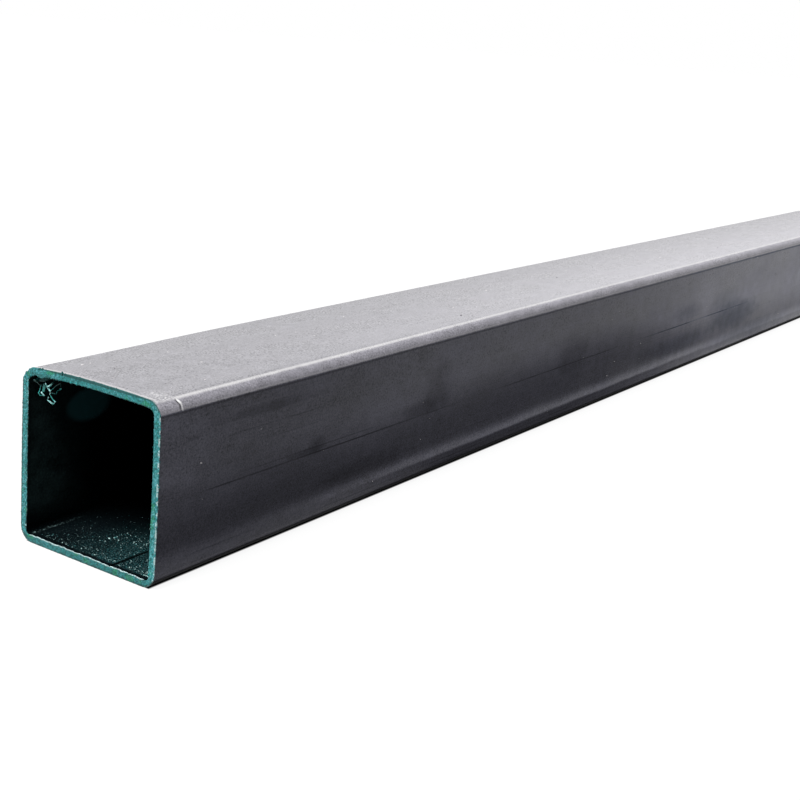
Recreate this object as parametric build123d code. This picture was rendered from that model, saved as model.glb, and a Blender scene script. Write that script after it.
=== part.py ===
"""Square hollow section: cold-formed, seam-welded steel tube, one length as it is sold.

A strip of steel is roll-formed to a square with round corners and welded along
one line.  The weld leaves a low bead inside.  The flash that was trimmed from
it, a thin string of steel, hangs crumpled from the bead in the sawn mouth.

Millimetres, +Z up.  The tube lies along X on its bottom face, and the origin is
the middle of that face.  The marked mouth is at -X.  The weld is inside the top
wall, near the +Y corner.
"""

from build123d import *

import math
import os

# The tube
side = 50.0  # outside, face to face, both ways
wall = 2.0
corner_radius = 4.3  # outside, and the wall keeps its thickness round the bend
length = 1000.0

# The weld bead inside the top wall
bead_width = 2.4
bead_height = 0.5
bead_from_side = 5.0  # from the inside of the +Y wall to the bead's middle

# The scored line inside the bottom wall
score_width = 0.6
score_depth = 0.25
score_from_side = 14.0  # from the inside of the -Y wall to the line's middle

# The trimmed flash, a flat string that is crumpled by hand-picked folds
string_width = 0.9
string_thickness = 0.3
string_air = 0.05  # between the bead and the string that hangs from it
string_drop = string_air + string_thickness / 2  # its middle under the bead
fold_share = 0.45  # of the shorter run, that the arc at each fold may use
# Each point of its route: in from the mouth, off the +Y wall, and below the bead.
string_route = (
    # Torn from the bead, and out to the wall
    (7.4, bead_from_side, string_drop),
    (5.6, bead_from_side, string_drop),
    (4.2, 3.6, 0.7),
    (3.0, 1.7, 1.1),
    (1.8, 0.8, 1.6),
    # Back under the top wall
    (1.0, 1.6, 2.2),
    (1.2, 3.4, 2.0),
    (1.6, 5.4, 1.8),
    (2.3, 7.4, 2.1),
    # The loop that hangs behind
    (3.6, 8.4, 2.7),
    (5.0, 7.0, 4.4),
    (5.8, 4.1, 5.5),
    (5.4, 2.2, 4.8),
    (4.4, 1.5, 3.8),
    (3.4, 1.0, 4.3),
    (2.6, 1.5, 5.4),
    # The folds in front
    (1.6, 3.9, 5.4),
    (1.2, 5.3, 3.8),
    (0.9, 6.9, 2.7),
    (0.9, 8.3, 2.3),
    (1.5, 9.0, 3.1),
    (2.2, 7.9, 4.2),
    (2.5, 6.6, 5.1),
    # The curl at its lower end
    (3.0, 5.8, 6.1),
    (2.9, 6.7, 7.0),
    (2.4, 8.0, 6.9),
    (1.7, 7.8, 7.4),
    (1.3, 6.6, 7.2),
    (1.4, 5.6, 6.6),
    (1.7, 5.4, 5.7),
)

# Worked out from the sizes above
hollow = side - 2 * wall
mouth_x = -length / 2
floor_z = wall
ceiling_z = side - wall
bead_z = ceiling_z - bead_height
inside_y = hollow / 2


def bead_face():
    """The bead's section: a low dome on the ceiling."""
    y = inside_y - bead_from_side
    foot = ((y - bead_width / 2, ceiling_z), (y + bead_width / 2, ceiling_z))
    dome = ThreePointArc(foot[0], (y, bead_z), foot[1])
    return make_face(dome + Line(foot[1], foot[0]))


def score_face():
    """The scored line's section: a V in the floor."""
    y = -inside_y + score_from_side
    return make_face(
        Polyline(
            (y - score_width / 2, floor_z),
            (y, floor_z - score_depth),
            (y + score_width / 2, floor_z),
            close=True,
        )
    )


def tube():
    """The wall with its bead and its scored line, drawn at the mouth and drawn out along X."""
    mouth = Plane(origin=(mouth_x, 0, 0), x_dir=(0, 1, 0), z_dir=(1, 0, 0))
    middle = Pos(0, side / 2)
    ring = middle * RectangleRounded(side, side, corner_radius)
    ring -= middle * RectangleRounded(hollow, hollow, corner_radius - wall)
    section = ring + bead_face() - score_face()
    return extrude(mouth * section, amount=length)


def fold_radii(points):
    """The radius at each fold: an arc as large as its two runs leave room for."""
    radii = []
    for before, here, after in zip(points, points[1:], points[2:]):
        run_in, run_out = here - before, after - here
        turn = math.radians(run_in.get_angle(run_out))
        shorter = min(run_in.length, run_out.length)
        radii.append(fold_share * shorter / math.tan(turn / 2))
    return radii


def weld_flash():
    """The string: a flat strip swept along straight runs joined by tangent arcs."""
    points = [
        Vector(mouth_x + depth, inside_y - off_wall, bead_z - drop)
        for depth, off_wall, drop in string_route
    ]
    radii = fold_radii(points)
    route = FilletPolyline(*points, radius=radii)
    start = Plane(origin=points[0], x_dir=(0, 1, 0), z_dir=points[1] - points[0])
    strip = start * Rectangle(string_width, string_thickness)
    print("string length", round(route.length, 1), "tightest fold", round(min(radii), 2))
    return sweep(strip, path=route)


parts = {"tube": tube(), "weld_flash": weld_flash()}
os.makedirs("parts", exist_ok=True)
for name, shape in parts.items():
    export_step(shape, f"parts/{name}.step")
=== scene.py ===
"""A metre of square steel tube, 50 x 50 x 2 mm, lying on its bottom face.

It is cold-formed and seam-welded, and one sawn end is marked with teal paint.
Metres, +Z up.  The tube lies along X and its painted mouth is at -X.
"""

import math

import bpy
from mathutils import Matrix, Vector


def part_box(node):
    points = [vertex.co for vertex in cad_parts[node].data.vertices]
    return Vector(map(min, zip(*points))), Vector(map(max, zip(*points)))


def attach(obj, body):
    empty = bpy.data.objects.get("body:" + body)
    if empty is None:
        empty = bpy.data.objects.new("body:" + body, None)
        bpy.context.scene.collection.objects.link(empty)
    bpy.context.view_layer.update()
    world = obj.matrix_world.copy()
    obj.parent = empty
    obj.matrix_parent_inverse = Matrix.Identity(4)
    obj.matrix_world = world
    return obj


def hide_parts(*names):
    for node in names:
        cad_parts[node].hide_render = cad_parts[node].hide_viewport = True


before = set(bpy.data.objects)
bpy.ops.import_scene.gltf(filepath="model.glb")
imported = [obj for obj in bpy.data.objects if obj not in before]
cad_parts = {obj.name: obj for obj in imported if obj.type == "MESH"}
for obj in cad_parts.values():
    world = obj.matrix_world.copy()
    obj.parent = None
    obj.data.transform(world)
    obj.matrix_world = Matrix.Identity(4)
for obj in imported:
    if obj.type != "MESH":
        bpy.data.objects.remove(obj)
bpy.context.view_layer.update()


# The tube: one strip of mill steel, roll-formed to a square with round corners and welded shut.
# The trimmed weld leaves a low bead inside the top wall, and a roll has scored a line inside
# the bottom wall.  Its sides bulge a little, and the saw leaves both ends slightly ragged.

MM = 0.001
tube_low, tube_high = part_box("tube")
mouth_x = tube_low.x

tube_sizes = {
    "Side": tube_high.z - tube_low.z,
    "Length": tube_high.x - tube_low.x,
    "Mouth X": mouth_x,
    "Wall": 2.0 * MM,
    "Corner Radius": 4.3 * MM,
    "Top Crown": 0.45 * MM,
    "Front Crown": 0.2 * MM,
    "Back Crown": 0.13 * MM,
    "Bead Width": 2.7 * MM,
    "Bead Height": 0.5 * MM,
    "Bead Y": 18.0 * MM,
    "Score Width": 0.9 * MM,
    "Score Depth": 0.25 * MM,
    "Score Y": -9.0 * MM,
    "Waviness": 0.06 * MM,
    "Corner Fill": 0.5 * MM,
    "Mouth Sag": 0.42 * MM,
    "Sag Reach": 90.0 * MM,
    "Corner Knock": 0.45 * MM,
    "Knock Reach": 70.0 * MM,
    "Saw Depth": 0.12 * MM,
}
# The skin's grid: its steps along each side, and those of them before the corner starts.
side_steps, flat_steps = 106, 92
# In mm, for the shaders: half a side, and from the middle to the corners' centres.
half = tube_sizes["Side"] / MM / 2
core = half - tube_sizes["Corner Radius"] / MM


class Wire:
    """The output of a node. Arithmetic on it adds the math node that works it out."""

    def __init__(self, tree, socket):
        self.tree = tree
        self.socket = socket

    def also(self, name):
        """Another output of the same node."""
        return Wire(self.tree, self.socket.node.outputs[name])

    def math(self, operation, *values):
        """A math node's result for these values, or for this output alone."""
        values = values or (self,)
        kind = "ShaderNodeVectorMath" if self.socket.type == "VECTOR" else "ShaderNodeMath"
        return self.tree.node(kind, {"operation": operation}, dict(enumerate(values)))

    def __add__(self, other):
        return self.math("ADD", self, other)

    def __radd__(self, other):
        return self.math("ADD", other, self)

    def __sub__(self, other):
        return self.math("SUBTRACT", self, other)

    def __rsub__(self, other):
        return self.math("SUBTRACT", other, self)

    def __mul__(self, other):
        return self.math("MULTIPLY", self, other)

    def __rmul__(self, other):
        return self.math("MULTIPLY", other, self)

    def __truediv__(self, other):
        return self.math("DIVIDE", self, other)

    def __pow__(self, other):
        return self.math("POWER", self, other)

    def __neg__(self):
        return self.math("MULTIPLY", self, -1.0)

    def __abs__(self):
        return self.math("ABSOLUTE", self)

    def __gt__(self, other):
        return self.math("GREATER_THAN", self, other)

    def __lt__(self, other):
        return self.math("LESS_THAN", self, other)


class Tree:
    """A node tree, for shaders and for geometry."""

    def __init__(self, node_tree):
        self.node_tree = node_tree

    def node(self, kind, settings=None, sockets=None, output=0):
        """Adds a node: its settings first, then the values or links of its sockets."""
        node = self.node_tree.nodes.new(kind)
        for name, value in (settings or {}).items():
            setattr(node, name, value)
        for key, value in (sockets or {}).items():
            socket = node.inputs[key]
            if isinstance(value, Wire):
                self.node_tree.links.new(value.socket, socket)
            elif socket.type == "VECTOR" and isinstance(value, (int, float)):
                socket.default_value = (value, value, value)
            else:
                socket.default_value = value
        return Wire(self, node.outputs[output]) if node.outputs else None

    def limit(self, value, low=0.0, high=1.0):
        return self.node("ShaderNodeClamp", {}, {"Value": value, "Min": low, "Max": high})

    def rise(self, value, low, high):
        """0 below low and 1 above high, with a smooth step between them."""
        sockets = {"Value": value, "From Min": low, "From Max": high}
        return self.node("ShaderNodeMapRange", {"interpolation_type": "SMOOTHSTEP"}, sockets)

    def fall(self, value, low, high):
        """1 below low and 0 above high."""
        return 1.0 - self.rise(value, low, high)

    def band(self, value, middle, reach):
        """1 at middle, and down to 0 at reach from it."""
        return self.fall(abs(value - middle), 0.0, reach)

    def vector(self, x, y, z):
        return self.node("ShaderNodeCombineXYZ", {}, {"X": x, "Y": y, "Z": z})

    def axes(self, vector):
        """The three numbers of a vector."""
        x = self.node("ShaderNodeSeparateXYZ", {}, {0: vector})
        return x, x.also("Y"), x.also("Z")

    def grid(self, steps, rows):
        """A grid to wrap round the tube: around from 0 to 4 sides, and the row's number."""
        sockets = {"Size X": 1.0, "Size Y": 1.0, "Vertices X": steps + 1, "Vertices Y": rows + 1}
        grid = self.node("GeometryNodeMeshGrid", {}, sockets)
        x, y, _ = self.axes(self.node("GeometryNodeInputPosition"))
        return grid, (x + 0.5) * 4.0, (y + 0.5) * rows

    def wrapped(self, grid, place):
        """The grid with each of its points put in its place, and joined where its edges meet."""
        moved = self.node("GeometryNodeSetPosition", {}, {"Geometry": grid, "Position": place})
        joined = self.node("GeometryNodeMergeByDistance", {}, {"Geometry": moved, "Distance": 1e-6})
        return self.node("GeometryNodeSetShadeSmooth", {}, {"Geometry": joined})

    def noise(self, place, scale=1.0, detail=2.0, roughness=0.5):
        sockets = {"Vector": place, "Scale": scale, "Detail": detail, "Roughness": roughness}
        return self.node("ShaderNodeTexNoise", {}, sockets)

    def mix(self, share, first, second):
        """A colour between two colours."""
        sockets = {0: share, 6: first, 7: second}
        return self.node("ShaderNodeMix", {"data_type": "RGBA"}, sockets, output=2)

    def shaded(self, colour, shade):
        """A colour made darker or lighter."""
        settings = {"data_type": "RGBA", "blend_type": "MULTIPLY"}
        return self.node("ShaderNodeMix", settings, {0: 1.0, 6: colour, 7: shade}, output=2)

    def bump(self, height, reach):
        """The normal of a relief that is reach high where height goes from 0 to 1."""
        return self.node("ShaderNodeBump", {}, {"Height": height, "Distance": reach})


def grown(name, build, inputs, material, start=None):
    """Runs a Geometry Nodes tree and gives its result as a plain mesh piece."""
    kinds = {float: "NodeSocketFloat", int: "NodeSocketInt"}
    group = bpy.data.node_groups.new(name, "GeometryNodeTree")
    group.interface.new_socket("Geometry", in_out="INPUT", socket_type="NodeSocketGeometry")
    group.interface.new_socket("Geometry", in_out="OUTPUT", socket_type="NodeSocketGeometry")
    identifiers = {}
    for label, value in inputs.items():
        socket = group.interface.new_socket(label, in_out="INPUT", socket_type=kinds[type(value)])
        identifiers[label] = socket.identifier
    tree = Tree(group)
    entry = tree.node("NodeGroupInput")
    shape = build(tree, entry, {label: entry.also(label) for label in inputs})
    whole = tree.node("GeometryNodeRealizeInstances", {}, {"Geometry": shape})
    made = tree.node("GeometryNodeSetMaterial", {}, {"Geometry": whole, "Material": material})
    tree.node("NodeGroupOutput", {}, {"Geometry": made})
    seed = bpy.data.objects.new(name + "_seed", start or bpy.data.meshes.new(name + "_seed"))
    bpy.context.scene.collection.objects.link(seed)
    modifier = seed.modifiers.new(name, "NODES")
    modifier.node_group = group
    for label, value in inputs.items():
        modifier[identifiers[label]] = value
    evaluated = seed.evaluated_get(bpy.context.evaluated_depsgraph_get())
    piece = bpy.data.objects.new(name, bpy.data.meshes.new_from_object(evaluated))
    bpy.data.objects.remove(seed)
    bpy.context.scene.collection.objects.link(piece)
    return piece


def wall_point(tree, size, around, depth, inset):
    """A point of the wall: around from 0 to 4 sides, depth in from the mouth, inset from outside.

    Side 0 is the bottom, 1 the +Y side, 2 the top and 3 the -Y side.  Each starts with its flat
    stretch, and ends with the corner that follows it.
    """
    flat_share = flat_steps / side_steps
    quarter = (around + 1e-6).math("FLOOR")
    within = around - quarter
    across = tree.limit(within / flat_share) * 2.0 - 1.0
    bend = tree.limit((within - flat_share) / (1.0 - flat_share)) * (math.pi / 2)
    flat_half = size["Side"] * 0.5 - size["Corner Radius"]
    on_bottom, on_back, on_top, on_front = [(abs(quarter - side) < 0.5) for side in range(4)]
    crown = on_top * size["Top Crown"] + on_front * size["Front Crown"]
    crown = crown + on_back * size["Back Crown"]
    inside = inset / size["Wall"]
    bead_off = (-across * flat_half - size["Bead Y"]) / (size["Bead Width"] * 0.5)
    bead = tree.limit(1.0 - bead_off * bead_off) * size["Bead Height"] * on_top * inside
    score_off = abs(across * flat_half - size["Score Y"]) / (size["Score Width"] * 0.5)
    score = tree.limit(1.0 - score_off) * size["Score Depth"] * on_bottom * inside
    tight = (bend * 2.0).math("SINE")
    fill = tight * tight * size["Corner Fill"] * inside * (1.0 - on_top)
    knock = tight * tight * on_back * size["Corner Knock"]
    knock = knock * tree.fall(depth, 0.0, size["Knock Reach"])
    reach = size["Corner Radius"] - inset + crown * (1.0 - across * across) - bead + score + fill
    reach = reach - knock
    local_y = across * flat_half + bend.math("SINE") * reach
    local_z = -flat_half - bend.math("COSINE") * reach
    turn = quarter * (math.pi / 2)
    turn_sine, turn_cosine = turn.math("SINE"), turn.math("COSINE")
    y = local_y * turn_cosine - local_z * turn_sine
    z = local_y * turn_sine + local_z * turn_cosine + size["Side"] * 0.5
    # Toward the +Y top corner the mouth sags.
    sag = size["Mouth Sag"] * tree.fall(depth, 0.0, size["Sag Reach"])
    z = z - sag * tree.rise(y, 4.0 * MM, 22.0 * MM) * tree.rise(z, 38.0 * MM, 47.0 * MM)
    return tree.vector(size["Mouth X"] + depth, y, z)


def tube_wall(tree, entry, size):
    """One closed skin: in along the outside, over the mouth, back along the inside, and shut."""
    outer_rows, end_rows, inner_rows = 90, 6, 60
    grid, around, row = tree.grid(4 * side_steps, outer_rows + inner_rows + 2 * end_rows)
    outer = tree.limit(row / outer_rows)
    mouth = tree.limit((row - outer_rows) / end_rows)
    inner = tree.limit((row - outer_rows - end_rows) / inner_rows)
    far = tree.limit((row - outer_rows - end_rows - inner_rows) / end_rows)

    def spread(value):
        """Rows lie close together near both ends."""
        near, rest = value * value, (1.0 - value) * (1.0 - value)
        return near / (near + rest)

    depth = size["Length"] * (1.0 - spread(outer) + spread(inner))
    inset = size["Wall"] * (mouth - far)
    point = wall_point(tree, size, around, depth, inset)
    x, y, z = tree.axes(point)
    wave_place = tree.vector(x * 7.0, y * 30.0, z * 30.0)
    wave = (tree.noise(wave_place, detail=1.0) - 0.5) * size["Waviness"]
    saw = (tree.noise(point, 900.0, detail=2.0) - 0.5) * size["Saw Depth"]
    at_mouth = mouth * (1.0 - inner) + tree.fall(depth, 0.0, MM)
    far_half = (depth > size["Length"] * 0.5)
    ragged = saw * far_half - saw * tree.limit(at_mouth) * (1.0 - far_half)
    return tree.wrapped(grid, point + tree.vector(ragged, wave, wave))


def emptied(owner):
    """The node tree of a material or a world, with no node in it yet."""
    owner.use_nodes = True
    owner.node_tree.nodes.clear()
    return Tree(owner.node_tree)


def new_material(name, build):
    """A material of one shader. build gets the tree and returns the shader's sockets."""
    material = bpy.data.materials.new(name)
    tree = emptied(material)
    shader = tree.node("ShaderNodeBsdfPrincipled", {}, build(tree))
    tree.node("ShaderNodeOutputMaterial", {}, {"Surface": shader})
    return material


def colour(red, green, blue):
    return (red, green, blue, 1.0)


def axes_in_mm(tree):
    """Depth from the painted mouth, y, height over the floor, and the place as one vector."""
    place = tree.node("ShaderNodeTexCoord").also("Object") * (1 / MM)
    x, y, z = tree.axes(place)
    return x - mouth_x / MM, y, z, place


def past_core(y, z):
    """How far a place is past the corners' centres in mm: sideways, up or down, and in all."""
    out_y, out_z = [off.math("MAXIMUM", off, 0.0) for off in (abs(y) - core, abs(z - half) - core)]
    return out_y, out_z, (out_y * out_y + out_z * out_z).math("SQRT")


# Dark smudges on the -Y side: depth, height, half length, half width in mm, and strength.
# The one with a negative strength is a lighter patch.
smudges = (
    (66.7, 25.0, 5.0, 3.2, 0.5),
    (62.0, 23.9, 10.0, 1.3, 0.4),
    (44.0, 41.0, 30.0, 1.8, 0.5),
    (12.8, 38.4, 3.5, 0.8, 0.5),
    (92.0, 11.5, 30.0, 4.5, 0.3),
    (133.6, 31.6, 11.0, 10.0, 0.3),
    (126.0, 25.5, 16.0, 3.0, 0.3),
    (232.0, 27.0, 14.0, 9.0, 0.25),
    (403.0, 27.0, 24.0, 7.0, 0.14),
    (420.0, 19.0, 38.0, 8.0, 0.36),
    (355.0, 28.0, 22.0, 4.5, 0.2),
    (345.0, 14.5, 50.0, 5.0, 0.25),
    (452.0, 7.0, 60.0, 5.5, 0.16),
    (376.0, 34.0, 18.0, 11.0, -0.13),
)
# Lines drawn along the -Y side: height, half width in mm, strength, and the depths between
# which each shows.
drawn_lines = (
    (22.9, 0.4, 0.75, 9.0, 450.0),
    (24.6, 0.3, 0.5, 22.0, 110.0),
    (36.3, 0.3, 0.5, 20.0, 95.0),
    (32.2, 0.25, 0.35, 26.0, 80.0),
    (6.3, 0.4, 0.4, 3.0, 50.0),
    (4.4, 0.35, 0.35, 60.0, 260.0),
    (3.2, 0.3, 0.3, 70.0, 220.0),
    (12.6, 0.3, 0.2, 60.0, 200.0),
)


def mill_steel(tree):
    """Dull oxide over rolled steel, rubbed at its upper corners and dusted with paint inside.

    Lengths are in mm.  front is the -Y side, and high is the upper half.
    """
    depth, y, z, place = axes_in_mm(tree)
    out_y, out_z, skin = past_core(y, z)  # skin is 2.3 on the inside and 4.3 on the outside
    bend = out_z.math("ARCTAN2", out_z, out_y) * (180 / math.pi)  # 0 on a side, 90 on the top
    inside = tree.fall(skin, 3.2, 3.4)
    front = tree.rise(-y, 22.0, 23.4)
    high = tree.rise(z, half, half + 4.0)
    along = tree.rise(depth, 0.0, 330.0)
    far_part = tree.rise(depth, 230.0, 440.0)

    grain = tree.noise(place, 1.7, detail=3.0, roughness=0.6) - 0.5
    fine = tree.noise(place, 4.0, detail=2.0) - 0.5
    streak = tree.noise(tree.vector(depth * 0.006, y * 3.0, z * 3.0), detail=2.0) - 0.5
    cloud = tree.noise(tree.vector(depth * 0.035, y * 0.1, z * 0.1), detail=3.0) - 0.5
    blotches = tree.vector(depth * 0.16, y * 0.2, z * 0.2)
    mottle = tree.noise(blotches, detail=5.0, roughness=0.65) - 0.5

    # The -Y side's smudges and drawn lines, and a painted dark line along its top
    marks_and_painted_shade = 1.0
    for at_depth, at_z, reach_x, reach_z, strength in smudges:
        off_x, off_z = (depth - at_depth) / reach_x, (z - at_z) / reach_z
        off = off_x * off_x + off_z * off_z + cloud * 1.2 + mottle * 0.9
        marks_and_painted_shade = marks_and_painted_shade * (1.0 - tree.fall(off, -0.3, 1.3) * strength)
    for at_z, reach_z, strength, start, end in drawn_lines:
        line = tree.band(z + cloud * 0.4, at_z, reach_z) * tree.rise(depth, start, start + 20.0)
        line = line * tree.fall(depth, end - 30.0, end) * tree.limit(0.6 + cloud * 4.0)
        marks_and_painted_shade = marks_and_painted_shade * (1.0 - line * strength)
    # Painted shade: a dark line where the side meets the upper corner
    marks_and_painted_shade = marks_and_painted_shade * (1.0 - tree.band(z + cloud * 0.3, 46.1, 0.6) * 0.55)

    # Painted light and shade: a pale reflection band low down, shade above it, and a dark hem below
    lift = z + cloud * 1.5
    painted_reflection_band = front * tree.fall(lift, 7.2, 12.0) * tree.rise(lift, 5.9, 7.1)
    painted_reflection_band = painted_reflection_band * (0.25 + tree.rise(depth, 20.0, 110.0) * 0.75)
    level = lift + cloud * 8.0 - along * 6.0 + far_part * 15.0
    painted_sunk_shade = front * tree.fall(level, 13.0, 33.0)
    painted_sunk_shade = painted_sunk_shade * tree.rise(lift, 4.5, 10.0) * (1.0 - painted_reflection_band * 0.7) * (1.0 - far_part * 0.7)
    painted_hem_shade = front * tree.fall(lift, 5.7, 6.9) * tree.rise(depth, 60.0, 160.0)
    painted_hem_shade = painted_hem_shade * (1.0 - far_part)
    # Painted shade on the lower corner, almost black
    painted_underside_shade = front * (1.0 - high) * tree.rise(bend, 14.0, 32.0)

    # The upper corners: a painted highlight along their crest and at the mouth, a pale line at the
    # corner's foot, and a nick near the mouth with its painted shadow
    flank = tree.fall(bend * high, 10.0 + mottle * 4.0, 14.0)
    plateau = high * tree.rise(bend, 56.0, 72.0)
    painted_crest_highlight = high * tree.band(bend + mottle * 6.0, 62.0 + along * 9.0 + far_part * 2.0, 12.0)
    painted_crest_highlight = painted_crest_highlight * (0.35 + tree.rise(depth + mottle * 6.0, 5.0, 10.0) * 0.65)
    painted_fan_highlight = high * tree.rise(bend, 48.0, 70.0) * tree.rise(-y, 15.0, 19.0)
    painted_fan_highlight = painted_fan_highlight * tree.band(depth, 4.5, 5.0)
    painted_fan_highlight = painted_fan_highlight * tree.rise(tree.noise(tree.vector(depth * 0.8, y * 2.0, z * 2.0), 1.6), 0.5, 0.6)
    pale_flank_line = high * tree.band(bend + mottle * 4.0, 16.0, 4.0) * tree.rise(depth, 3.0, 9.0)
    nick_line = depth + tree.rise(bend, 30.0, 60.0) * 0.6 + mottle * 0.6 - 8.2
    nick_width = 0.35 + tree.band(bend, 44.0, 14.0) * 0.35
    nick_reach = front * high * tree.rise(bend, 7.0, 9.0) * tree.fall(bend, 56.0, 60.0)
    nick = nick_reach * tree.band(nick_line, 0.0, nick_width)
    painted_nick_shadow = nick_reach * tree.band(nick_line, -0.65, 0.5)

    # The tones of the sides, of the top and of the corners between them, with painted light and
    # shade
    bars = tree.noise(tree.vector(depth * 0.09, 0.0, z * 0.012), detail=3.0) - 0.5
    side_tone_and_painted_light = 1.0 + (grain + fine) * 1.9 * (1.0 - far_part * 0.7)
    side_tone_and_painted_light = side_tone_and_painted_light + mottle * 0.8 + streak * 0.4 + cloud * 0.8
    side_tone_and_painted_light = side_tone_and_painted_light + bars * tree.rise(depth, 100.0, 300.0) * 0.5
    side_tone_and_painted_light = side_tone_and_painted_light * (1.0 - painted_sunk_shade * 0.38) * (1.0 + painted_reflection_band * 0.27) * (1.0 - painted_underside_shade * 0.98)
    side_tone_and_painted_light = side_tone_and_painted_light * (1.0 - front + front * marks_and_painted_shade) * (1.0 - painted_hem_shade * 0.45)
    side_tone_and_painted_light = side_tone_and_painted_light * (1.0 - tree.band(depth, 55.0, 60.0) * 0.22)
    # Painted sheen: the far side's upper half is lighter
    side_tone_and_painted_light = side_tone_and_painted_light * (1.0 + far_part * tree.band(z, 27.0, 13.0) * 0.2)
    dots = tree.rise(tree.noise(place + 5.0, 1.6, detail=1.0), 0.62, 0.7)
    # Painted light: the top grows lighter toward the far end and toward its -Y edge
    top_tone_and_painted_light = 0.97 + along * 0.19 + far_part * 0.04
    top_tone_and_painted_light = top_tone_and_painted_light - y * (0.06 + tree.rise(depth, 20.0, 120.0) * 0.05 + along * 0.18) / half
    top_tone_and_painted_light = top_tone_and_painted_light + grain * 1.7 + fine * 1.7 + mottle * 0.5 + cloud * 0.35 + dots * 0.3
    corner_tone_and_painted_shade = 1.0 + grain * 1.4 + fine * 1.4 + mottle * 0.9 + streak * 0.5 - painted_nick_shadow * 0.75
    corner_tone_and_painted_shade = corner_tone_and_painted_shade - along * tree.fall(bend, 20.0, 55.0) * 0.18

    # The outside's colour
    blue = tree.limit((1.0 - marks_and_painted_shade) * far_part * 1.3)
    side_tint = tree.mix(blue, colour(0.21, 0.21, 0.265), colour(0.13, 0.18, 0.3))
    side_colour = tree.shaded(side_tint, side_tone_and_painted_light)
    top_colour = tree.shaded(colour(0.275, 0.27, 0.29), top_tone_and_painted_light)
    corner_colour = tree.shaded(colour(0.335, 0.325, 0.365), corner_tone_and_painted_shade)
    upper_colour = tree.mix(plateau, corner_colour, top_colour)
    # Painted highlights at the mouth's rim, on the crest and in the fan; the nick itself is pale
    # bare steel
    painted_rim_highlight = plateau * tree.band(depth + mottle * 1.5, 0.9, 0.9) * 0.5
    pale_share = painted_crest_highlight * (1.0 - along * 0.3 + mottle) + pale_flank_line * 0.3 + nick * 1.3 + painted_rim_highlight + painted_fan_highlight * 0.8
    pale_share = tree.limit(pale_share)
    upper_colour = tree.mix(pale_share, upper_colour, colour(0.66, 0.65, 0.66))
    # A painted white glint in the nick
    painted_nick_glint = tree.limit(nick * tree.band(bend, 46.0, 16.0) * (1.2 + grain * 2.0))
    upper_colour = tree.mix(painted_nick_glint, upper_colour, colour(1.0, 1.0, 1.0))
    outside_colour = tree.mix(flank, upper_colour, side_colour)

    # The inside: near black, as painted shade, with overspray on the floor and a faint teal disc on
    # the +Y wall
    grit = tree.noise(place, 1.7, detail=3.0, roughness=0.7)
    sharp = tree.rise(tree.noise(place + 3.0, 2.8, detail=2.0), 0.54, 0.61)
    floor_part = tree.fall(z, 2.2, 4.5)
    across = 0.02 + tree.rise(-y + cloud * 20.0, -13.0, 9.0) * 0.98
    across = across * (1.0 - tree.rise(-y, 8.5, 10.5) * 0.35)
    fade = tree.rise(depth + mottle * 2.0, 1.2, 2.6)
    fade = fade * tree.fall(depth + cloud * 30.0, 4.0, 42.0)
    disc_x, disc_z = (depth - 22.3) / 8.6, (z - 34.8) / 5.0
    disc = tree.fall(disc_x * disc_x + disc_z * disc_z, 0.5, 1.2) * tree.rise(y, 22.0, 22.6)
    specks = tree.rise(grit, 0.48, 0.6)
    dusting = floor_part * fade * (0.03 + across * 0.97) * (0.01 + specks * 0.15 + sharp * 0.56)
    dusting = dusting + (1.0 - floor_part) * fade * specks * 0.06
    swept = tree.band(y + mottle * 1.5, 22.0, 0.6) * tree.fall(z, 2.6, 3.4) * fade
    swept = swept * tree.fall(depth, 8.0, 24.0)
    # Painted shade: near the mouth the inside is near black, and only deep in does it take its
    # oxide's dark grey
    deep_share = tree.rise(depth, 60.0, 700.0)
    bare = tree.mix(deep_share, colour(0.002, 0.0035, 0.0045), colour(0.06, 0.06, 0.065))
    # Lighter and teal-grey on the +Y wall near the mouth
    near_wall = tree.rise(y, 20.0, 22.5) * tree.fall(depth, 4.0, 26.0)
    near_wall = near_wall * tree.rise(z, 4.0, 12.0)
    near_mouth_wall_tone = tree.shaded(colour(0.03, 0.052, 0.054), 1.0 + mottle * 3.0 + grain * 2.0)
    bare = tree.mix(near_wall, bare, near_mouth_wall_tone)
    inside_colour = tree.mix(tree.limit(dusting), bare, colour(0.026, 0.13, 0.14))
    inside_colour = tree.mix(disc, inside_colour, colour(0.05, 0.19, 0.215))
    pale = tree.rise(tree.noise(place + 11.0, 2.6, detail=2.0), 0.61, 0.67) * floor_part * fade
    pale = pale * (0.08 + across * 0.36) + swept * specks * 0.5
    inside_colour = tree.mix(tree.limit(pale), inside_colour, colour(0.26, 0.4, 0.4))
    # Painted shadow in the scored line
    painted_score_shadow = tree.band(y, tube_sizes["Score Y"] / MM, 0.75) * floor_part
    inside_colour = tree.mix(tree.limit(painted_score_shadow * 2.0), inside_colour, colour(0.001, 0.002, 0.002))

    # The bare sawn face at the far end
    far_face = tube_sizes["Length"] / MM
    cut = tree.rise(depth, far_face - 0.07, far_face - 0.02)
    drawn_out = tree.vector(depth, y * 0.12 + z * 0.05, z * 6.0 - y * 0.8)
    saw_lines = tree.noise(drawn_out, detail=3.0) - 0.5
    cut_colour = tree.shaded(colour(0.5, 0.5, 0.51), 1.0 + saw_lines * 0.9 + grain * 0.3)

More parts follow.
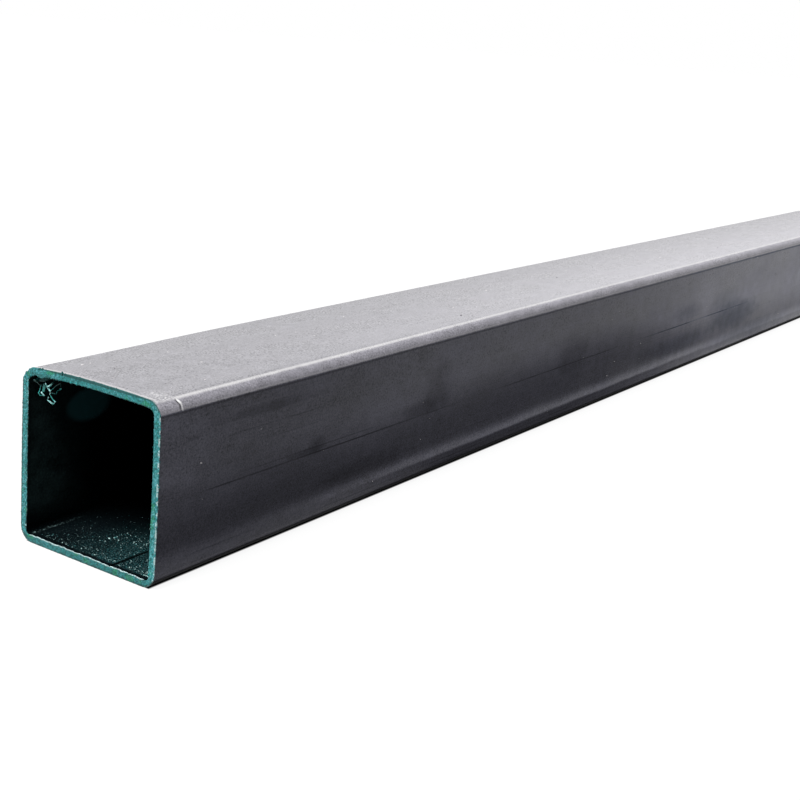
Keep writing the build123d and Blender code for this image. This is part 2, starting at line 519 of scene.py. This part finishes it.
    # How it shines
    sheen = 0.02 + along * 0.01 + far_part * 0.17 + mottle * 0.04 + cloud * 0.06
    sheen = sheen * (1.0 + tree.band(z, 27.0, 13.0) * 0.2)
    sheen = sheen * marks_and_painted_shade * (1.0 - painted_sunk_shade * 0.9) + painted_reflection_band * 0.06
    metallic = tree.limit(flank * sheen + (1.0 - flank) * (1.0 - plateau) * 0.14 + painted_crest_highlight * 0.2)
    metallic = tree.limit((1.0 - inside) * metallic + nick * 0.3 + cut * 0.85)
    rough = 0.36 - inside * 0.16 + grain * 0.3 + cloud * 0.3 + painted_sunk_shade * 0.36 + painted_hem_shade * 0.4 + painted_underside_shade * 0.5
    rough = rough + (1.0 - marks_and_painted_shade) * front * 0.3 - tree.rise(z, 26.0, 44.0) * 0.06
    relief = grain * 0.6 + fine * 0.4 + streak * 0.2 * flank - painted_nick_shadow * 2.0 + nick * 1.5
    relief = relief + saw_lines * cut * 2.0 + mottle * 0.5 * flank
    return {
        "Base Color": tree.mix(cut, tree.mix(inside, outside_colour, inside_colour), cut_colour),
        "Metallic": metallic,
        "Roughness": tree.limit(rough, 0.2, 1.0),
        "Specular IOR Level": 0.11,
        "Normal": tree.bump(relief, 0.02 * MM),
    }


steel = new_material("mill_steel", mill_steel)
tube = grown("steel_tube", tube_wall, tube_sizes, steel)
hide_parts("tube")
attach(tube, "root")


# The end's marking paint: a thick teal coat that was dabbed over the sawn face, so that stock
# of this grade is known by its colour.  It laps a little over both edges.

paint_sizes = dict(tube_sizes)
paint_sizes["Coat"] = 0.07 * MM
paint_sizes["Lap Outside"] = 0.35 * MM
paint_sizes["Lap Inside"] = 0.5 * MM
paint_sizes["Lip Wave"] = 0.45 * MM
paint_sizes["Back Lip"] = 0.3 * MM


def paint_coat(tree, entry, size):
    """A closed cap over the sawn face: its seen side first, then back through the steel."""
    seen_rows, back_rows = 20, 4
    grid, around, row = tree.grid(12 * side_steps, seen_rows + back_rows)
    seen_share = tree.limit(row / seen_rows)
    back_share = tree.limit((row - seen_rows) / back_rows)
    # -1 to 0 is the lap outside, 0 to 2 the sawn face, and 2 to 3 the lap inside.
    along = seen_share * 4.0 - back_share * 4.0 - 1.0
    outer = tree.limit(-along)
    over = tree.limit(along / 2.0)
    inner = tree.limit(along - 2.0)
    ring = (along > -0.01) * (along < 2.01)
    flat_point = wall_point(tree, size, around, 0.0, over * size["Wall"])
    rough = tree.noise(flat_point, 700.0, detail=3.0) - 0.5
    ragged = tree.noise(flat_point, 1600.0, detail=2.0) - 0.5
    drip = tree.limit(tree.noise(flat_point, 420.0, detail=3.0) * 3.0 - 1.1, 0.1, 2.0)
    seen_side = (back_share < 0.01)
    coat = size["Coat"] * (1.0 + rough * 1.6) * seen_side - 0.04 * MM * (1.0 - seen_side)
    coat = coat * (1.0 - 0.8 * tree.rise(outer + inner, 0.5, 1.0))
    depth = (outer * size["Lap Outside"] + inner * size["Lap Inside"]) * drip - coat * ring
    edge = tree.band(along, 0.0, 0.35) - tree.band(along, 2.0, 0.35)
    lip = edge * (tree.limit(ragged * 3.0, -0.2, 1.0) * (0.15 * MM)) * seen_side
    wave = tree.limit(tree.noise(flat_point, 430.0, detail=2.0) * 2.6 - 0.8)
    on_bottom = (around < 0.9) + (around > 3.97)  # with the end of the corner before it
    on_back = tree.rise(around, 1.0, 1.1) * tree.fall(around, 1.8, 1.95)
    lip = lip * (1.0 - on_bottom * inner) * (1.0 + on_back * (along > 1.0))
    lip = lip - tree.band(along, 2.0, 0.6) * on_back * size["Back Lip"] * seen_side
    lip = lip - tree.band(along, 2.0, 0.5) * on_bottom * wave * size["Lip Wave"] * seen_side
    inset = over * size["Wall"] - coat * (along < -0.01) + coat * (along > 2.01) - lip
    return tree.wrapped(grid, wall_point(tree, size, around, depth, inset))


def marking_paint(tree):
    """Teal paint, uneven where it is thin or thick, and pale along the saw's burr, partly worn and
    partly a painted highlight.
    """
    depth, y, z, place = axes_in_mm(tree)
    _, _, skin = past_core(y, z)
    from_outside = tube_sizes["Corner Radius"] / MM - skin
    patch = tree.noise(place, 0.5, detail=4.0, roughness=0.65)
    green = tree.noise(place + 31.0, 0.3, detail=3.0)
    fleck = tree.noise(place + 57.0, 1.3, detail=2.0, roughness=0.6)
    film = tree.noise(place + 83.0, 1.5, detail=2.0, roughness=0.6)
    grain = tree.noise(place, 4.0, detail=2.0)
    thick = tree.rise(patch, 0.4, 0.64)
    teal = tree.mix(thick, colour(0.018, 0.21, 0.205), colour(0.045, 0.28, 0.3))
    teal = tree.mix(tree.rise(green, 0.57, 0.66) * 0.8, teal, colour(0.02, 0.26, 0.12))
    teal = tree.mix(tree.rise(fleck, 0.5, 0.6) * 0.8, teal, colour(0.01, 0.1, 0.1))
    top, bottom = tree.rise(z, 47.0, 47.8), tree.fall(z, 2.2, 3.0)
    front, back = tree.rise(-y, 22.2, 23.0), tree.rise(y, 22.2, 23.0)
    film_share = tree.rise(film, 0.52, 0.62) * (0.65 + front * 0.15 - bottom * 0.4 + back * 0.12)
    teal = tree.mix(film_share, teal, colour(0.13, 0.43, 0.47))

    # Pale on the lips, partly wear and partly painted highlight; dark at the edges, partly dirt and
    # partly painted shade
    dots = tree.rise(tree.noise(place + 7.0, 1.1, detail=2.0), 0.47, 0.58)
    at_outside = tree.fall(from_outside, 0.15, 0.45)
    wave = tree.limit(tree.noise(place * MM, 430.0, detail=2.0) * 2.6 - 0.8) * bottom
    back_lip = back * tree.rise(z, 5.0, 8.0) * (paint_sizes["Back Lip"] / MM)
    lip = wave * (paint_sizes["Lip Wave"] / MM) + back_lip
    at_inside = tree.rise(from_outside - lip, 1.66, 1.8)
    notches = tree.rise(tree.noise(place + 71.0, 0.7, detail=2.0), 0.5, 0.55)
    at_foot = bottom * tree.fall(from_outside, 0.35, 0.75) * notches
    wear_and_painted_highlight = bottom * at_inside * (0.75 + dots * 0.25) + back * at_inside * dots * 0.45
    wear_and_painted_highlight = tree.limit(wear_and_painted_highlight + front * at_outside * dots * 0.8) * tree.fall(depth, 0.08, 0.25)
    # Painted shadow of the burr: black teeth on the back's inner edge
    painted_burr_shadow = back * at_inside * tree.rise(tree.noise(place + 91.0, 1.2, detail=2.0), 0.46, 0.52)
    # Painted shade along the foot of the bottom face
    painted_foot_shade = bottom * tree.fall(from_outside, 0.1, 0.5) * 0.45
    grime_and_painted_shade = tree.limit(top * at_outside + back * at_outside + at_foot + painted_foot_shade)
    grime_and_painted_shade = tree.limit(grime_and_painted_shade + top * at_inside * 0.6) * tree.fall(depth, 0.6, 1.0)
    teal = tree.mix(wear_and_painted_highlight, teal, colour(0.55, 0.72, 0.73))
    teal = tree.mix(grime_and_painted_shade * 0.85, teal, colour(0.006, 0.06, 0.055))
    teal = tree.mix(painted_burr_shadow * 0.9, teal, colour(0.001, 0.006, 0.006))
    shade = 1.0 + (grain - 0.5) * (2.9 + back * 1.6) + front * 0.02 - bottom * 0.22
    return {
        "Base Color": tree.shaded(teal, shade),
        "Roughness": tree.limit(0.42 + (fleck - 0.5) * 0.6, 0.2, 0.8),
        "Specular IOR Level": 0.3,
        "Normal": tree.bump(grain * 0.5 + fleck * 0.8 + patch * 0.6, 0.08 * MM),
    }


paint = new_material("marking_paint", marking_paint)
coat = grown("paint_coat", paint_coat, paint_sizes, paint)
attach(coat, "root")


# The saw's burr: crumbs of steel that the blade pushed over the edges of the cut, under the
# same paint.  They sit thickest on the inner edges and on the outer edge of the -Y side.

burr_sizes = dict(tube_sizes)
burr_sizes["Crumbs"] = 900
burr_sizes["Crumb Size"] = 0.3 * MM


def scattered(tree, kind, low, high, seed):
    """A number or a vector for each point, the same in every run."""
    first, output = (2, 1) if kind == "FLOAT" else (0, 0)
    sockets = {first: low, first + 1: high, "Seed": seed}
    return tree.node("FunctionNodeRandomValue", {"data_type": kind}, sockets, output=output)


def crumbs(tree, points, crumb_size, seed, tumble=0.0):
    """Small angular crumbs on the points, each turned and stretched its own way."""
    crumb = tree.node("GeometryNodeMeshIcoSphere", {}, {"Radius": 0.5, "Subdivisions": 1})
    full_turn = 2 * math.pi
    spin = (full_turn * tumble, full_turn * tumble, full_turn)
    turn = scattered(tree, "FLOAT_VECTOR", (0.0, 0.0, 0.0), spin, seed)
    stretch = scattered(tree, "FLOAT_VECTOR", (0.5, 0.5, 0.4), (1.5, 1.1, 0.9), seed + 1)
    scale = stretch.math("MULTIPLY", stretch, tree.vector(crumb_size, crumb_size, crumb_size))
    sockets = {"Points": points, "Instance": crumb, "Rotation": turn, "Scale": scale}
    return tree.node("GeometryNodeInstanceOnPoints", {}, sockets)


def saw_burr(tree, entry, size):
    """Crumbs at random places along the cut's two edges, more where the blade left the wall."""
    around = scattered(tree, "FLOAT", 0.0, 4.0, 11)
    choice = scattered(tree, "FLOAT", 0.0, 1.0, 12)
    quarter = around.math("FLOOR")
    outer_share = 0.2 + (quarter > 2.5) * 0.4 + (abs(quarter - 2.0) < 0.5) * 0.2
    off_edge = scattered(tree, "FLOAT", -0.04 * MM, 0.04 * MM, 13)
    inset = (choice > outer_share) * size["Wall"] + off_edge
    depth = scattered(tree, "FLOAT", -0.1 * MM, 0.12 * MM, 14)
    share = scattered(tree, "FLOAT", 0.0, 1.0, 15)
    ragged = (around > 1.9) * (around < 2.35) * share ** 3.0
    crumb_size = size["Crumb Size"] * (0.45 + share * share * share * 1.3 + ragged * 1.3)
    on_lip = (around < 0.95) * (choice > outer_share)
    crumb_size = crumb_size * (1.0 - on_lip * 0.7)
    x, y, z = tree.axes(wall_point(tree, size, around, depth, inset))
    place = tree.vector(x, y, z.math("MAXIMUM", z, crumb_size * 0.75))
    points = tree.node("GeometryNodePoints", {}, {"Count": size["Crumbs"], "Position": place})
    return crumbs(tree, points, crumb_size, 16, tumble=1.0)


burr = grown("saw_burr", saw_burr, burr_sizes, paint)
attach(burr, "root")


# The torn weld flash: the thin string of steel that the trimming tool tore off the weld.  It
# hangs crumpled in the mouth, and the marking paint has run over it and set glossy.

flash_sizes = {"Thickness": 0.13 * MM, "Ripple": 0.16 * MM}
inner_y = tube_high.y - tube_sizes["Wall"]
bead_z = tube_high.z - tube_sizes["Wall"] - tube_sizes["Bead Height"]
# Each point of its middle line in mm: in from the mouth, off the +Y wall, below the bead, and
# the width that is left of the strip there.
flash_route = (
    (7.4, 5.0, 0.2, 0.8), (5.6, 5.0, 0.2, 0.9), (4.4, 3.5, 1.3, 0.9), (3.6, 2.4, 1.8, 1.1),
    (3.0, 1.0, 2.0, 1.1), (2.2, 0.6, 1.9, 0.6), (1.2, 0.4, 1.9, 0.3), (1.0, 1.0, 1.7, 0.35),
    (1.7, 1.4, 2.4, 0.2), (2.6, 1.8, 3.4, 0.14), (2.5, 2.2, 3.0, 0.2), (2.0, 2.2, 4.6, 0.26),
    (1.7, 2.1, 5.2, 0.3), (1.8, 2.5, 5.8, 0.2), (1.1, 5.1, 5.2, 0.35), (1.1, 3.9, 4.5, 0.42),
    (1.9, 3.8, 4.6, 0.8), (2.4, 3.8, 2.8, 1.05), (1.1, 5.4, 1.7, 0.35), (1.0, 6.3, 2.5, 0.45),
    (1.0, 7.9, 1.5, 0.4), (2.0, 7.7, 0.8, 0.3), (2.1, 6.3, 2.4, 0.6), (1.1, 6.3, 2.8, 0.45),
    (1.0, 7.5, 3.5, 0.4), (2.0, 7.1, 3.2, 0.16), (2.2, 8.4, 1.9, 0.16), (2.6, 9.5, 1.2, 0.18),
    (2.0, 10.4, 2.4, 0.34), (3.6, 6.9, 4.2, 0.2), (3.2, 7.4, 4.6, 0.2), (2.2, 5.8, 4.6, 0.26),
    (1.9, 7.0, 5.4, 0.22), (1.8, 7.9, 6.0, 0.22), (1.4, 9.1, 6.2, 0.28), (1.0, 8.6, 6.7, 0.4),
    (1.0, 7.8, 6.6, 0.4), (1.1, 6.9, 6.3, 0.36), (1.4, 5.9, 6.3, 0.24), (1.1, 6.6, 5.4, 0.34),
)


def strip_mesh(route):
    """The strip as one row of faces. Its flat side looks out of the mouth, and each fold keeps
    its two edges on the sides where they were."""
    facing = Vector((-1.0, -0.2, 0.35))
    corner = Vector((mouth_x, inner_y, bead_z))
    middles = [corner + Vector((x, -y, -z)) * MM for x, y, z, _ in route]
    points, across = [], Vector()
    for index, (middle, (_, _, _, width)) in enumerate(zip(middles, route)):
        run = middles[min(index + 1, len(route) - 1)] - middles[max(index - 1, 0)]
        turned = run.cross(facing).normalized()
        across = -turned if turned.dot(across) < 0.0 else turned
        points += [middle - across * width * MM / 2, middle + across * width * MM / 2]
    mesh = bpy.data.meshes.new("flash_strip")
    mesh.from_pydata(points, [], [(i, i + 1, i + 3, i + 2) for i in range(0, len(points) - 2, 2)])
    return mesh


def torn_flash(tree, entry, size):
    """The strip made thick, rippled and ragged."""
    fine = tree.node("GeometryNodeSubdivideMesh", {}, {"Mesh": entry, "Level": 2})
    place = tree.node("GeometryNodeInputPosition")
    sockets = {"Vector": place, "Scale": 1600.0, "Detail": 2.0}
    shake = tree.node("ShaderNodeTexNoise", {}, sockets, output=1)
    reach = tree.vector(size["Ripple"], size["Ripple"], size["Ripple"])
    sockets = {"Geometry": fine, "Offset": (shake - 0.5) * reach}
    rippled = tree.node("GeometryNodeSetPosition", {}, sockets)
    sockets = {"Mesh": rippled, "Offset Scale": size["Thickness"], "Individual": False}
    raised = tree.node("GeometryNodeExtrudeMesh", {}, sockets)
    shell = tree.node("GeometryNodeJoinGeometry", {}, {"Geometry": raised})
    base = tree.node("GeometryNodeFlipFaces", {}, {"Mesh": rippled})
    tree.node_tree.links.new(base.socket, shell.socket.node.inputs["Geometry"])
    closed = tree.node("GeometryNodeMergeByDistance", {}, {"Geometry": shell, "Distance": 1e-6})
    return tree.node("GeometryNodeSetShadeSmooth", {}, {"Geometry": closed, "Shade Smooth": False})


def run_paint(tree):
    """The marking paint where it has run together, with painted highlights where the strip stands
    out most.
    """
    depth, _, _, place = axes_in_mm(tree)
    patch = tree.noise(place, 0.9, detail=3.0, roughness=0.6)
    fleck = tree.noise(place + 19.0, 3.0, detail=3.0, roughness=0.7)
    wear_and_painted_highlight = tree.fall(depth + (fleck - 0.5) * 2.5, 0.9, 1.7) * (0.7 + (patch - 0.5) * 2.6)
    wear_and_painted_highlight = wear_and_painted_highlight * (0.6 + (tree.noise(place + 43.0, 2.2, detail=1.0) - 0.5) * 2.6)
    teal = tree.mix(tree.rise(patch, 0.42, 0.58), colour(0.01, 0.2, 0.17), colour(0.02, 0.36, 0.34))
    teal = tree.mix(tree.rise(fleck, 0.45, 0.6) * 0.6, teal, colour(0.01, 0.09, 0.08))
    return {
        "Base Color": tree.mix(tree.limit(wear_and_painted_highlight), teal, colour(0.6, 0.92, 0.93)),
        "Metallic": tree.limit(wear_and_painted_highlight * 0.4),
        "Roughness": tree.limit(0.25 + (patch - 0.5) * 0.5, 0.1, 0.6),
        "Specular IOR Level": 0.5,
        "Normal": tree.bump(fleck, 0.05 * MM),
    }


strip = strip_mesh(flash_route)
flash = grown("torn_flash", torn_flash, flash_sizes, new_material("run_paint", run_paint), strip)
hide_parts("weld_flash")
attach(flash, "root")


# Overspray: drops of the marking paint that fell on the inside floor behind the mouth, most of
# them on the -Y half, and set as hard beads.

spray_sizes = {"Drops": 1400, "Drop Size": 0.3 * MM, "Reach": 30.0 * MM}


def overspray(tree, entry, size):
    """Beads scattered on the floor, with the large ones in a cluster some way in."""
    share = scattered(tree, "FLOAT", 0.0, 1.0, 21)
    to_side = scattered(tree, "FLOAT", 0.0, 1.0, 22)
    clustered = (scattered(tree, "FLOAT", 0.0, 1.0, 25) < 0.04)
    depth = (size["Reach"] * share * share + 2.2 * MM) * (1.0 - clustered)
    depth = depth + (13.0 + share * 8.0) * MM * clustered
    y = (19.5 - (1.0 - to_side ** 3.0) * 40.5) * MM * (1.0 - clustered)
    y = y + (to_side * 12.0 - 7.0) * MM * clustered
    # None stays on the scored line.
    y = y + (abs(y - tube_sizes["Score Y"]) < 0.9 * MM) * (1.8 * MM)
    floor_z = tube_low.z + tube_sizes["Wall"]
    place = tree.vector(depth + mouth_x, y, floor_z)
    points = tree.node("GeometryNodePoints", {}, {"Count": size["Drops"], "Position": place})
    large = scattered(tree, "FLOAT", 0.0, 1.0, 23)
    drop_size = size["Drop Size"] * (0.35 + large ** 4.0 * 0.9 + clustered * large * large * 1.4)
    return crumbs(tree, points, drop_size, 24)


def pale_drops(tree):
    """Dried drops, pale where the pigment is thin."""
    place = tree.node("ShaderNodeTexCoord").also("Object") * (1 / MM)
    kind = tree.noise(place, 1.3, detail=1.0)
    grain = tree.noise(place, 8.0, detail=2.0)
    tone = tree.mix(tree.rise(kind, 0.47, 0.58), colour(0.025, 0.13, 0.135), colour(0.5, 0.72, 0.7))
    return {
        "Base Color": tree.shaded(tone, 0.8 + grain * 0.4),
        "Roughness": tree.limit(0.35 + (grain - 0.5) * 0.4),
        "Specular IOR Level": 0.5,
    }


drops = grown("overspray_drops", overspray, spray_sizes, new_material("pale_drops", pale_drops))
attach(drops, "root")


# Workshop grit: specks of scale and grinding dust that lie on the top and cling to the sides.

grit_sizes = {"Density": 16000.0, "Speck Size": 0.36 * MM}


def workshop_grit(tree, entry, size):
    """Specks over the tube's outside, many on the top and a few on each side."""
    _, y, z = tree.axes(tree.node("GeometryNodeInputPosition"))
    on_top = (z > tube_high.z - 0.1 * MM)
    on_side = (abs(y) > tube_high.y - 0.02 * MM) * (z > 6.0 * MM) * 0.3
    density = size["Density"] * (on_top + on_side)
    settings = {"distribute_method": "RANDOM"}
    sockets = {"Mesh": entry, "Density": density, "Seed": 31}
    points = tree.node("GeometryNodeDistributePointsOnFaces", settings, sockets)
    large = scattered(tree, "FLOAT", 0.0, 1.0, 32)
    speck_size = size["Speck Size"] * (0.35 + large ** 4.0 * 1.4)
    return crumbs(tree, points, speck_size, 33)


def grit_dust(tree):
    """Pale dust, with a few dark flakes of scale."""
    place = tree.node("ShaderNodeTexCoord").also("Object") * (1 / MM)
    kind = tree.noise(place, 0.7, detail=1.0)
    grain = tree.noise(place, 9.0, detail=2.0)
    tone = tree.mix(tree.rise(kind, 0.36, 0.4), colour(0.04, 0.04, 0.045), colour(0.72, 0.7, 0.7))
    return {
        "Base Color": tree.shaded(tone, 0.8 + grain * 0.4),
        "Roughness": tree.limit(0.6 + (grain - 0.5) * 0.5),
        "Specular IOR Level": 0.3,
    }


dust = new_material("grit_dust", grit_dust)
grit = grown("workshop_grit", workshop_grit, grit_sizes, dust, tube.data)
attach(grit, "root")


# The floor and the lights: a plain pale floor under a soft overhead light from the mouth's side.
# The camera stands where it was fitted to the photo's end face and long edges.

camera_data = bpy.data.cameras.new("camera")
camera_data.lens = 59.41
camera_data.sensor_width = 36.0
camera_data.shift_x = 0.05
camera_data.shift_y = -0.0375
camera_data.clip_start = 0.01
camera_data.clip_end = 50.0
camera = bpy.data.objects.new("camera", camera_data)
right = Vector((0.573195, -0.815895, 0.075909))
down = Vector((-0.158875, -0.201538, -0.96651))
forward = Vector((0.803869, 0.541939, -0.245146))
camera.matrix_world = Matrix((right, -down, -forward)).transposed().to_4x4()
camera.location = Vector((-0.73181, -0.23933, 0.14126))
bpy.context.scene.collection.objects.link(camera)
bpy.context.scene.camera = camera

floor_mesh = bpy.data.meshes.new("floor")
floor_reach, floor_z = 20.0, -0.1 * MM
signs = ((-1, -1), (1, -1), (1, 1), (-1, 1))
corners = [(x * floor_reach, y * floor_reach, floor_z) for x, y in signs]
floor_mesh.from_pydata(corners, [], [(0, 1, 2, 3)])
floor = bpy.data.objects.new("floor", floor_mesh)
bpy.context.scene.collection.objects.link(floor)


def seen(tree):
    """1 for the rays that show a thing: straight to the camera, mirrored or through glass."""
    path = tree.node("ShaderNodeLightPath")
    shown = path.also("Is Camera Ray") + path.also("Is Glossy Ray")
    return tree.limit(shown + path.also("Is Transmission Ray"))


# The floor glows where it is open, and its glow is left out under the tube as a painted contact
# shadow.
floor_material = bpy.data.materials.new("floor")
tree = emptied(floor_material)
lit = tree.node("ShaderNodeBsdfDiffuse", {}, {"Color": colour(0.09, 0.09, 0.09)})
x, y, _ = tree.axes(tree.node("ShaderNodeTexCoord").also("Object"))
off_side = tree.rise(abs(y), tube_high.y - 2.4 * MM, tube_high.y - 1.6 * MM)
off_end = tree.rise(abs(x), tube_high.x - 0.5 * MM, tube_high.x)
floor_past_painted_shadow = off_side.math("MAXIMUM", off_side, off_end)
glow_colour = tree.mix(floor_past_painted_shadow, colour(0.0, 0.0, 0.0), colour(1.0, 1.0, 1.0))
glow = tree.node("ShaderNodeEmission", {}, {"Color": glow_colour, "Strength": 0.93})
pale = tree.node("ShaderNodeAddShader", {}, {0: lit, 1: glow})
dim = tree.node("ShaderNodeBsdfDiffuse", {}, {"Color": colour(0.08, 0.08, 0.08)})
surface = tree.node("ShaderNodeMixShader", {}, {0: seen(tree), 1: dim, 2: pale})
tree.node("ShaderNodeOutputMaterial", {}, {"Surface": surface})
floor_mesh.materials.append(floor_material)

world = bpy.data.worlds.new("studio")
bpy.context.scene.world = world
tree = emptied(world)
ambient = 0.05
strength = ambient + seen(tree) * (1.0 - ambient)
sky = tree.node("ShaderNodeBackground", {}, {"Color": colour(1.0, 1.0, 1.0), "Strength": strength})
tree.node("ShaderNodeOutputWorld", {}, {"Surface": sky})

lamp_data = bpy.data.lights.new("overhead", "SUN")
lamp_data.energy = 1.6 * math.pi
lamp_data.angle = math.radians(24)
lamp = bpy.data.objects.new("overhead", lamp_data)
lamp.rotation_mode = "QUATERNION"
lamp.rotation_quaternion = Vector((-0.5, 0.06, 0.86)).to_track_quat("Z", "Y")
bpy.context.scene.collection.objects.link(lamp)

bpy.context.scene.view_settings.view_transform = "Standard"
